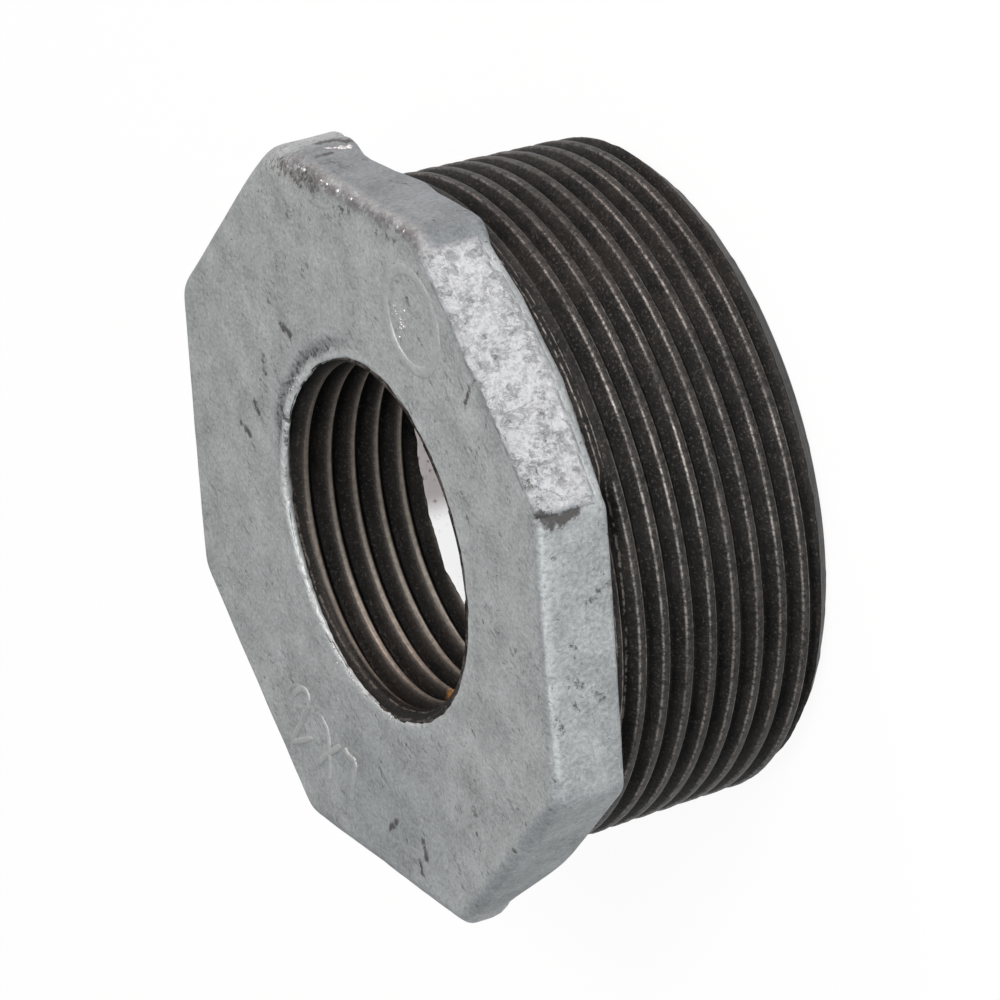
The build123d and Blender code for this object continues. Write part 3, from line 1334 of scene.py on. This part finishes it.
@dataclass(frozen=True)
class ZincCoat:
    """Hot-dip zinc: matt grey with dark flecks, a near-white crust where crumpled that is partly a
    painted sheen, with painted shade in its hollows, shiny in the recess.

    Each method lays some marks over the colour below, and gives the colour and the relief.
    """

    dull: tuple = (0.27, 0.284, 0.283)
    pale: tuple = (0.50, 0.524, 0.52)
    fleck: tuple = (0.15, 0.155, 0.155)
    # The crust: near white, partly a painted sheen, and painted shade in its hollows and sunk
    # patches
    frost_and_painted_sheen: tuple = (0.955, 0.985, 1.0)
    painted_hollow_shade: tuple = (0.68, 0.715, 0.735)
    painted_sunken_shade: tuple = (0.34, 0.365, 0.38)
    crease: tuple = (0.26, 0.265, 0.28)
    tinge: tuple = (0.62, 0.58, 0.62)
    # Tint of the painted shade on the side flats
    side_painted_shade_tint: tuple = (0.84, 0.845, 0.865)
    # Tint of the painted shade on the top and lower right flats, also of the darker tone patch low
    # on the face
    painted_shade_and_tone_tint: tuple = (0.60, 0.62, 0.645)
    # Colour of the rim's pale lumps and of the painted edge highlight
    lump_and_painted_highlight: tuple = (0.66, 0.70, 0.69)
    pitted_tint: tuple = (0.55, 0.56, 0.58)
    hole: tuple = (0.05, 0.052, 0.056)
    purple: tuple = (0.115, 0.098, 0.102)
    pit: tuple = (0.045, 0.04, 0.038)
    grime: tuple = (0.055, 0.048, 0.046)
    shiny: tuple = (0.95, 0.95, 0.95)
    scale: tuple = (0.42, 0.385, 0.39)
    speck: tuple = (0.12, 0.085, 0.07)
    fibre_turn: float = 0.58
    relief_metres: float = 0.00012

    def skin(self, sheet: Sheet, grain: Value) -> tuple[Value, Value]:
        """A tone from clouds and grain, crossed by bent fibres and mottled.

        Args:
            sheet: the coat's sheet.
            grain: the fine noise that the whole coat shares.

        Returns:
            Colour and relief.
        """
        cloud = sheet.noise(0.24, 5.0, 0.62)
        tone = ((cloud - 0.5) * 1.7 + (grain - 0.5) * 2.6 + 0.5).clamped()
        base = sheet.blend(tone, self.dull, self.pale)
        drawn = sheet.place((420.0, 1000.0, 1000.0), self.fibre_turn)
        fibres = sheet.noise(1.7, 4.0, 0.75, 1.0, drawn).step(0.545, 0.65)
        few = sheet.noise(0.28, 3.0).step(0.40, 0.62)
        strength = 0.85 - 0.4 * sheet.value_of("on_side")
        base = sheet.blend(fibres * few * strength, base, self.fleck)
        mottles = sheet.noise(0.8, 5.0, 0.7, 0.6).step(0.54, 0.68)
        return sheet.blend(mottles * 0.3, base, self.fleck), grain * 0.7 - fibres * 0.2

    def crumple(
        self, sheet: Sheet, grain: Value, base: Value, frost: Value
    ) -> tuple[Value, Value]:
        """The crumpled crust: near white, partly a painted sheen, with painted shade in its hollows
        and sunk patches, and creases and a slight tinge.

        Args:
            sheet: the coat's sheet.
            grain: the fine noise that the whole coat shares.
            base: the colour below.
            frost: the crust's share.

        Returns:
            Colour and relief.
        """
        icy = sheet.noise(2.0, 6.0, 0.75)
        flattened = sheet.place((1000.0, 1000.0, 480.0))
        lines = 1.0 - (sheet.noise(0.75, 5.0, 0.68, 0.5, flattened) - 0.5).size() * 26.0
        creases = lines.clamped() * sheet.noise(0.5, 3.0).step(0.45, 0.58)
        sunk = 1.0 - sheet.noise(0.85, 5.0, 0.72, 0.4).step(0.37, 0.47)
        # Painted shade in the crust's low places and sunk patches; its peaks near white, partly a
        # painted sheen
        crust = sheet.blend(icy.step(0.40, 0.54), self.painted_hollow_shade, self.frost_and_painted_sheen)
        crust = sheet.blend(sunk * 0.55, crust, self.painted_sunken_shade)
        base = sheet.blend(frost, base, crust)
        base = sheet.blend(frost * creases * 0.6, base, self.crease)
        tinge = sheet.noise(0.45, 2.0).step(0.45, 0.7)
        base = sheet.blend(frost * tinge * 0.12, base, self.tinge)
        return base, frost * (icy * 8.0 + grain * 2.5 - creases * 1.5 - sunk * 3.0)

    def rim(self, sheet: Sheet, base: Value) -> tuple[Value, Value]:
        """Pale lumps along the rim with a painted highlight along the right flats' front edge, dark
        holes beside them, and the purple line of the top edge.

        Args:
            sheet: the coat's sheet.
            base: the colour below.

        Returns:
            Colour and relief.
        """
        rim = sheet.value_of("rim").clamped()
        lumps = sheet.noise(1.8, 4.0, 0.7)
        # Pale lumps on the rim, and the painted highlight along the right flats' front edge
        base = sheet.blend(rim * lumps.step(0.38, 0.54) * 0.85, base, self.lump_and_painted_highlight)
        pitted = sheet.value_of("pitted")
        base = sheet.darken(pitted, base, self.pitted_tint)
        holes = sheet.noise(1.9, 4.0, 0.72, 0.5).step(0.50, 0.60) * pitted.step(0.1, 0.8)
        base = sheet.blend(holes * 0.85, base, self.hole)
        purple = sheet.value_of("dark_edge") * sheet.noise(1.1, 5.0, 0.72).step(0.36, 0.56)
        return sheet.blend(purple * 0.8, base, self.purple), rim * lumps * 1.5 - holes * 0.9

    def dirt(self, sheet: Sheet, base: Value) -> tuple[Value, Value]:
        """Ragged grime where the mesh has dirt.

        Args:
            sheet: the coat's sheet.
            base: the colour below.

        Returns:
            Colour and relief.
        """
        ragged = sheet.noise(1.5, 5.0, 0.75, 0.6)
        grime = (sheet.value_of("dirt") + (ragged - 0.5) * 2.2 - 0.38).step(0.0, 0.45)
        return sheet.blend(grime * 0.88, base, self.grime), grime * -0.5

    def pits(self, sheet: Sheet) -> Value:
        """Share of the small dark pits, which lie in clusters.

        Args:
            sheet: the coat's sheet.

        Returns:
            Numbers between 0 and 1.
        """
        drawn = sheet.place((700.0, 1000.0, 1000.0), self.fibre_turn)
        clusters = sheet.noise(0.3, 3.0).step(0.46, 0.6)
        return sheet.noise(2.3, 4.0, 0.65, 0.8, drawn).step(0.625, 0.69) * (0.2 + 0.8 * clusters)

    def make(self) -> bpy.types.Material:
        """The skin, the crust, painted shade on the side flats, the rim's marks, pits, dirt, and
        the recess with its scale.

        Returns:
            The material, rougher with the grain and the pits, and smooth in the recess.
        """
        sheet = Sheet(bpy.data.materials.new("zinc_coat"))
        frost, recess, scaled = (sheet.value_of(name) for name in ("frost", "recess", "scaled"))
        grain = sheet.noise(2.6, 5.0, 0.75)
        base, relief = self.skin(sheet, grain)
        base, crust_relief = self.crumple(sheet, grain, base, frost)
        # Painted shade: the side flats darkened, less on the crust, for how the light falls
        base = sheet.darken(sheet.value_of("on_side") * (1.0 - 0.35 * frost), base, self.side_painted_shade_tint)
        # Painted shade on the top and lower right flats, and a darker tone patch low on the face
        base = sheet.darken(sheet.value_of("painted_shade_and_tone"), base, self.painted_shade_and_tone_tint)
        base, rim_relief = self.rim(sheet, base)
        pits = self.pits(sheet)
        base = sheet.blend(pits * (0.7 - 0.4 * frost), base, self.pit)
        base, dirt_relief = self.dirt(sheet, base)
        base = sheet.blend(recess, base, self.shiny)
        base = sheet.blend(scaled * 0.95, base, self.scale)
        specks = sheet.noise(1.3, 4.0, 0.7).step(0.56, 0.66) * scaled
        base = sheet.blend(specks * 0.8, base, self.speck)
        relief = relief + rim_relief + dirt_relief - pits * 0.8
        relief = relief * (1.0 - 0.85 * recess) + crust_relief
        rough = 0.48 + 0.16 * grain + 0.1 * pits - frost * 0.20 - recess * (0.42 - 0.3 * scaled)
        metal = 0.5 + recess * 0.5 - 0.25 * frost
        looks = {"Base Color": base, "Roughness": rough, "Metallic": metal}
        return sheet.finish(relief, self.relief_metres, looks)


@dataclass(frozen=True)
class PlainZinc:
    """Zinc on the ribs and beads, which carry no values of their own."""

    name: str
    tone: tuple
    roughness: float
    metal: float = 0.6
    relief_metres: float = 0.00005

    def make(self) -> bpy.types.Material:
        """The tone, a fifth darker in small clouds, with a fine grain.

        Returns:
            The material.
        """
        sheet = Sheet(bpy.data.materials.new(self.name))
        grain = sheet.noise(2.4, 4.0, 0.7)
        darker = tuple(0.8 * part for part in self.tone)
        base = sheet.blend(grain.step(0.35, 0.65), darker, self.tone)
        rough = self.roughness + 0.1 * grain
        looks = {"Base Color": base, "Roughness": rough, "Metallic": self.metal}
        return sheet.finish(grain, self.relief_metres, looks)


@dataclass(frozen=True)
class BareThread:
    """Cut malleable iron left bare: near-black oily flanks, specks of scale, crests of worn metal
    and painted highlights.
    """

    name: str
    dark: tuple = (0.006, 0.0062, 0.006)
    brown: tuple = (0.0165, 0.0148, 0.0138)
    scale: tuple = (0.21, 0.185, 0.17)
    # Colour of worn metal and of the painted highlights on the crests and land lines
    bright: tuple = (0.46, 0.42, 0.39)
    rust: tuple = (0.30, 0.13, 0.025)
    crest_share: float = 0.85
    land_share: float = 0.5
    land_from: float = 20.0
    nibble: float = 0.8
    speckle: float = 0.38
    specular: float = 0.18
    relief_metres: float = 0.0001

    def land_lines(self, sheet: Sheet) -> Value:
        """Share of the scraped lines on the land, partly painted highlights of the chatter rings:
        wavy rings, a sine of the height, broken up.

        Args:
            sheet: the finish's sheet.

        Returns:
            Numbers between 0 and 1, 0 below the land.
        """
        height = sheet.add("ShaderNodeSeparateXYZ", None, {0: sheet.where}, "Z")
        wobble = sheet.noise(0.4, 3.0, 0.6) * 3.0
        # Bright rings: scraped metal and painted highlights of the chatter rings
        lines = ((height * 12.0 + wobble).wave() - 0.55) * 2.2
        broken = sheet.noise(1.2, 4.0, 0.7).step(0.42, 0.58)
        return lines.clamped() * height.step(self.land_from - 0.1, self.land_from + 0.3) * broken

    def make(self) -> bpy.types.Material:
        """Brown clouds on dark iron with specks, and crests brightened by the mesh's crest share:
        worn metal and painted highlights.

        Returns:
            The material, metallic where it is worn bright or carries a painted highlight.
        """
        sheet = Sheet(bpy.data.materials.new(self.name))
        crest = sheet.value_of("crest")
        cloud = sheet.noise(0.25, 4.0, 0.65)
        speck = sheet.noise(3.7, 4.0, 0.8)
        base = sheet.blend(cloud.step(0.35, 0.65), self.dark, self.brown)
        dots = speck.step(0.55, 0.66)
        base = sheet.blend(dots * self.speckle, base, self.scale)
        nibbled = sheet.noise(2.2, 4.0, 0.8).step(0.44, 0.56)
        # The crest share: worn metal with painted highlights, sheen and shade laid in by the
        # thread's mesh
        worn = crest * ((1.0 - self.nibble) + self.nibble * nibbled) * self.crest_share
        worn = (worn + self.land_lines(sheet) * self.land_share).clamped()
        base = sheet.blend(worn, base, self.bright)
        rust = sheet.value_of("rust") * sheet.noise(2.0, 3.0, 0.6).step(0.35, 0.55)
        looks = {
            "Base Color": sheet.blend(rust, base, self.rust),
            "Roughness": 0.34 + 0.2 * speck - 0.08 * crest,
            "Specular IOR Level": self.specular,
            "Metallic": (0.35 + 0.5 * worn + 0.3 * dots - rust).clamped(),
        }
        return sheet.finish(speck * (1.0 - 0.5 * crest), self.relief_metres, looks)


@dataclass(frozen=True)
class Lamp:
    """A square soft lamp that faces the bush.

    way is the direction from the bush to the lamp, distance and size are in metres, and power is
    in watts.
    """

    name: str
    way: tuple
    distance: float
    size: float
    power: float
    tint: tuple = (1.0, 1.0, 1.0)

    def place(self, centre: Vector) -> None:
        """Puts the lamp at its distance from the centre, along its way, and turns it to face it.

        Args:
            centre: what the lamp faces.
        """
        data = bpy.data.lights.new(self.name, "AREA")
        data.size = self.size
        data.energy = self.power
        data.color = self.tint
        item = bpy.data.objects.new(self.name, data)
        bpy.context.scene.collection.objects.link(item)
        direction = Vector(self.way).normalized()
        item.location = centre + direction * self.distance
        item.rotation_euler = direction.to_track_quat("Z", "Y").to_euler()


@dataclass
class Studio:
    """Plain pale floor, soft lamps and the camera at the photograph's angle.

    place is in millimetres, and right, up and back are the camera's axes.
    """

    place: tuple = (561.55, 272.06, 309.74)
    right: tuple = (0.48577, -0.06305, -0.87181)
    up: tuple = (-0.31688, 0.91684, -0.24287)
    back: tuple = (0.81463, 0.39424, 0.42539)
    lens: float = 288.0
    centre: tuple = (0.0, 0.0, 0.015)
    sky: tuple = (0.97, 0.98, 1.0, 1.0)
    sky_light: float = 0.43
    seen_sky: tuple = (0.8, 0.8, 0.8, 1.0)
    paper: tuple = (0.88, 0.88, 0.88, 1.0)
    glow: tuple = (1.0, 1.0, 1.0, 1.0)
    floor_reach: float = 6.0
    lamps: tuple = (
        Lamp("key", (0.62, 0.50, 0.62), 0.8, 0.3, 6.6),
        Lamp("top", (-0.25, 0.90, 0.30), 0.7, 0.14, 2.2, (1.0, 0.82, 0.76)),
        Lamp("glint", (0.92, 0.37, 0.12), 0.7, 0.08, 0.6, (1.0, 0.92, 0.89)),
    )

    def camera(self) -> None:
        """A long lens that looks at the bush as the photograph does."""
        data = bpy.data.cameras.new("camera")
        data.lens = self.lens
        data.sensor_width = 36.0
        data.clip_start = 0.01
        data.clip_end = 20.0
        eye = bpy.data.objects.new("camera", data)
        bpy.context.scene.collection.objects.link(eye)
        rows = [[self.right[k], self.up[k], self.back[k], self.place[k] * MM] for k in range(3)]
        eye.matrix_world = Matrix([*rows, [0.0, 0.0, 0.0, 1.0]])
        bpy.context.scene.camera = eye

    def floor(self) -> None:
        """A wide floor under the bush that looks white and keeps its shadow.

        To the camera and in reflections it mostly glows, and to soft light it is paper.
        """
        reach = self.floor_reach
        signs = ((-1, -1), (1, -1), (1, 1), (-1, 1))
        corners = [(x * reach, y * reach, 0.0) for x, y in signs]
        mesh = bpy.data.meshes.new("floor")
        mesh.from_pydata(corners, [], [(0, 1, 2, 3)])
        sheet = Sheet(bpy.data.materials.new("floor_paper"))
        shine = sheet.add("ShaderNodeLightPath", out="Is Glossy Ray")
        clear, seen = shine.other("Is Transmission Ray"), shine.other("Is Camera Ray")
        share = (shine * 0.9 + clear + seen * 0.94).clamped()
        glow = sheet.add("ShaderNodeEmission", None, {"Color": self.glow, "Strength": 1.0})
        paper = sheet.add("ShaderNodeBsdfDiffuse", None, {"Color": self.paper})
        mixed = sheet.add("ShaderNodeMixShader", None, {0: share, 1: paper, 2: glow})
        sheet.add("ShaderNodeOutputMaterial", None, {"Surface": mixed})
        mesh.materials.append(sheet.owner)
        item = bpy.data.objects.new("floor", mesh)
        bpy.context.scene.collection.objects.link(item)

    def world(self) -> None:
        """An even pale sky, brighter to the camera than the light it gives."""
        world = bpy.data.worlds.new("studio")
        bpy.context.scene.world = world
        sheet = Sheet(world)
        seen = sheet.add("ShaderNodeLightPath", out="Is Camera Ray")
        light, white = (
            sheet.add("ShaderNodeBackground", None, {"Color": colour, "Strength": strength})
            for colour, strength in ((self.sky, self.sky_light), (self.seen_sky, 1.0))
        )
        mixed = sheet.add("ShaderNodeMixShader", None, {0: seen, 1: light, 2: white})
        sheet.add("ShaderNodeOutputWorld", None, {"Surface": mixed})

    def build(self) -> None:
        """Sets up the camera, floor, sky and lamps."""
        bpy.context.scene.view_settings.view_transform = "Standard"
        self.camera()
        self.floor()
        self.world()
        for lamp in self.lamps:
            lamp.place(Vector(self.centre))


def main() -> None:
    """Builds the studio and the five pieces of the bush."""
    logging.basicConfig(level=logging.INFO, format="%(name)s %(message)s")
    Studio().build()
    HeadCasting().surface().place(ZincCoat().make())
    CastFigures().build().place(PlainZinc("rib_zinc", (0.45, 0.465, 0.46), 0.6).make())
    ZincCrumbs().build().place(PlainZinc("bead_zinc", (0.60, 0.585, 0.585), 0.34).make())
    OutsideThread().build().place(BareThread("outside_iron").make())
    iron = BareThread(
        "inside_iron",
        dark=(0.0035, 0.0035, 0.0034),
        brown=(0.010, 0.0085, 0.0078),
        # Pinkish crest colour: worn metal and the painted warm highlight of the lower bore
        bright=(0.50, 0.43, 0.37),
        crest_share=0.62,
        land_share=0.2,
        land_from=27.8,
        nibble=0.3,
        speckle=0.25,
    )
    InsideThread().build().place(iron.make())
    log.info("sizes written")


if __name__ == "__main__":
    main()
